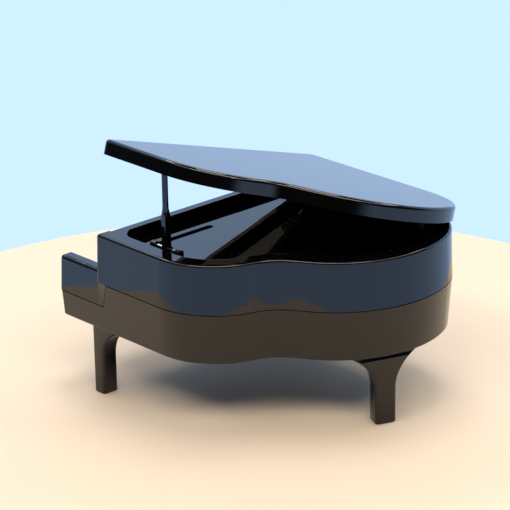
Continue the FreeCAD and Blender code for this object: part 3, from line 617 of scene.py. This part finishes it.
keys_mesh = bmesh.new()
soft_block(keys_mesh, (key_low.x, key_low.y + 0.5 * MM, key_low.z),
           (key_high.x, key_high.y, key_high.z - 1.2 * MM), 0.1 * MM)
for i in range(key_count):
    left = key_low.x + i * key_pitch + key_gap / 2
    soft_block(keys_mesh, (left, key_low.y, key_low.z + 0.4 * MM),
               (left + key_pitch - key_gap, key_high.y - 0.1 * MM, key_high.z), key_edge)
new_piece("white_key_set", keys_mesh, "white_plastic", "case", "white_keys")

sharp_low, sharp_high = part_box("black_keys")
sharp_half = 0.95 * MM
sharp_length = 9.6 * MM
sharp_back = sharp_high.y - 0.6 * MM
sharp_foot = key_high.z - 0.2 * MM
sharps_mesh = bmesh.new()
soft_block(sharps_mesh, (sharp_low.x, sharp_high.y - 1.2 * MM, sharp_foot),
           (sharp_high.x, sharp_high.y, key_high.z + 0.85 * MM), 0.12 * MM)
for i in range(1, key_count):
    if i % 7 in (3, 0):
        continue
    middle = key_low.x + i * key_pitch
    soft_block(sharps_mesh, (middle - sharp_half, sharp_back - sharp_length, sharp_foot),
               (middle + sharp_half, sharp_back, sharp_high.z), 0.25 * MM,
               taper=0.22 * MM, front_slope=1.1 * MM)
new_piece("sharp_key_set", sharps_mesh, "sharps_plastic", "case", "black_keys")

# %% [markdown]
# ## The winding key
# The key under the case is a brass butterfly: a turned collar that grips the arbor, and a flat plate with two
# pierced wings. A filled curve is the quickest way to a pierced plate, because inner circles become holes
# and the curve's own bevel rounds every edge. The collar is turned like the prop's eye.

# %% Make the winding key
arbor = Vector(joints["key_wind"]["pos_m"])
wind_low, wind_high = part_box("winding_key")
wing_half_thick = 0.8 * MM
wing_edge = 0.25 * MM
wing_radius = 3.6 * MM
wing_hole = 1.5 * MM
web_half = 2.3 * MM
wing_reach = (wind_high.x - wind_low.x) / 2 - wing_radius
wing_level = wind_low.z + wing_radius + 0.3 * MM


def ring_points(centre_x, radius, start, end, count):
    return [(centre_x + radius * math.cos(math.radians(start + (end - start) * i / (count - 1))),
             radius * math.sin(math.radians(start + (end - start) * i / (count - 1)))) for i in range(count)]


waist = math.degrees(math.asin(web_half / wing_radius))
butterfly = ring_points(wing_reach, wing_radius - wing_edge, -180 + waist, 180 - waist, 40)
butterfly += ring_points(-wing_reach, wing_radius - wing_edge, waist, 360 - waist, 40)
holes = [ring_points(side * wing_reach, wing_hole + wing_edge, 0, 345, 24) for side in (-1, 1)]
plate = bpy.data.curves.new("key_plate", "CURVE")
plate.dimensions = "2D"
plate.fill_mode = "BOTH"
plate.extrude = wing_half_thick - wing_edge
plate.bevel_depth = wing_edge
plate.bevel_resolution = 3
for points in (butterfly, *holes):
    spline = plate.splines.new("POLY")
    spline.points.add(len(points) - 1)
    for point, (x, y) in zip(spline.points, points):
        point.co = (x, y, 0, 1)
    spline.use_cyclic_u = True
plate_object = bpy.data.objects.new("key_plate", plate)
flat_plate = bpy.data.meshes.new_from_object(plate_object)
bpy.data.objects.remove(plate_object)
key_mesh = bmesh.new()
key_mesh.from_mesh(flat_plate)
bmesh.ops.remove_doubles(key_mesh, verts=key_mesh.verts, dist=1e-6)
for vertex in key_mesh.verts:
    x, y, z = vertex.co
    vertex.co = (arbor.x + x, arbor.y - z, wing_level + y)
collar_radius = (wind_high.y - wind_low.y) / 2
collar_low = wind_high.z - 6.3 * MM
groove_radius = collar_radius - 0.25 * MM
turned(key_mesh, Vector((arbor.x, arbor.y, 0)), Vector((0, 0, 1)),
       [(collar_low, collar_radius - 0.9 * MM), (collar_low + 0.5 * MM, collar_radius - 0.3 * MM),
        (collar_low + 1.2 * MM, collar_radius), (wind_high.z - 1.4 * MM, collar_radius),
        (wind_high.z - 1.2 * MM, groove_radius), (wind_high.z - 0.9 * MM, groove_radius),
        (wind_high.z - 0.7 * MM, collar_radius), (wind_high.z - 0.25 * MM, collar_radius),
        (wind_high.z, groove_radius)])
new_piece("butterfly_key", key_mesh, "brass", "winder", "winding_key")

# %% [markdown]
# Pale colours on a bright backdrop need a plain display curve: a filmic one would grey the black plastic.

# %% Set the display curve
bpy.context.scene.view_settings.view_transform = "Standard"
